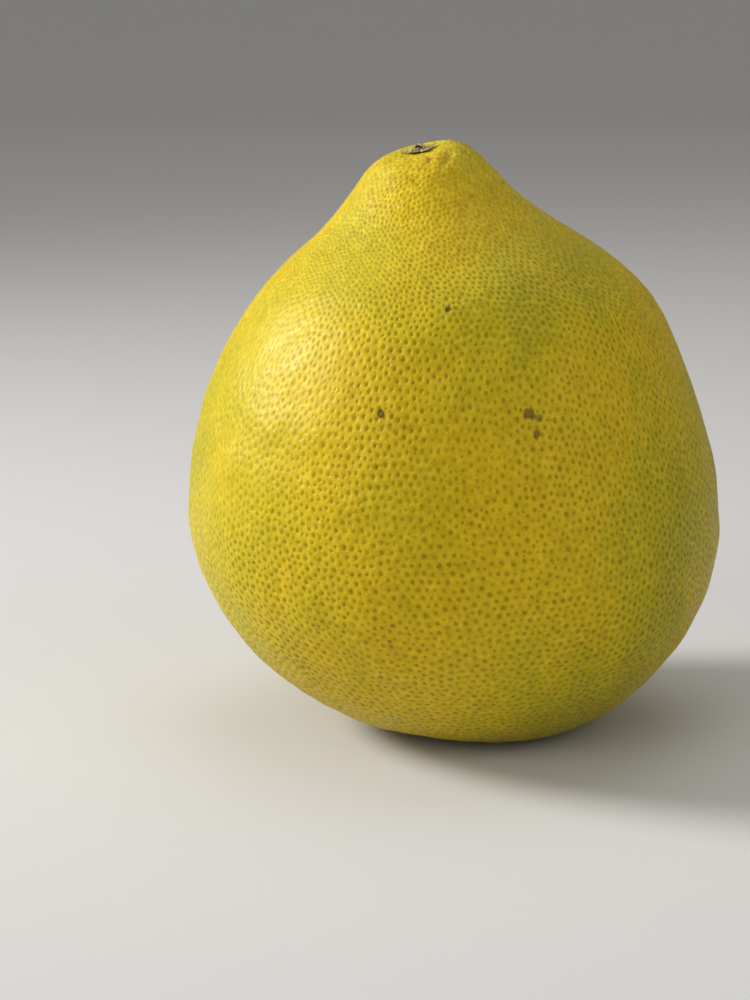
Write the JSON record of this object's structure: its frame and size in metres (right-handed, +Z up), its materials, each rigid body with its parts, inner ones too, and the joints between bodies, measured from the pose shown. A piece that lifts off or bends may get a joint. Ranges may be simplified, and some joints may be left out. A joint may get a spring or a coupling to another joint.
{
  "type": "grapefruit",
  "caption": "Whole pear-shaped citrus fruit with a short leaning neck, pitted green-yellow rind and a dried calyx button on its crown.",
  "frame": {"origin": "middle of the flat spot on the underside that the fruit rests on", "axes": "+Z up through the neck to the crown, -X the side that the neck leans to, -Y the front"},
  "size_m": [0.1361, 0.1338, 0.15],
  "materials": {
    "rind": "satin",
    "dried_calyx": "matte",
    "broken_stalk": "matte"
  },
  "bodies": {
    "root": {"fruit": "rind", "calyx": "dried_calyx", "stalk_stub": "broken_stalk"}
  },
  "joints": []
}
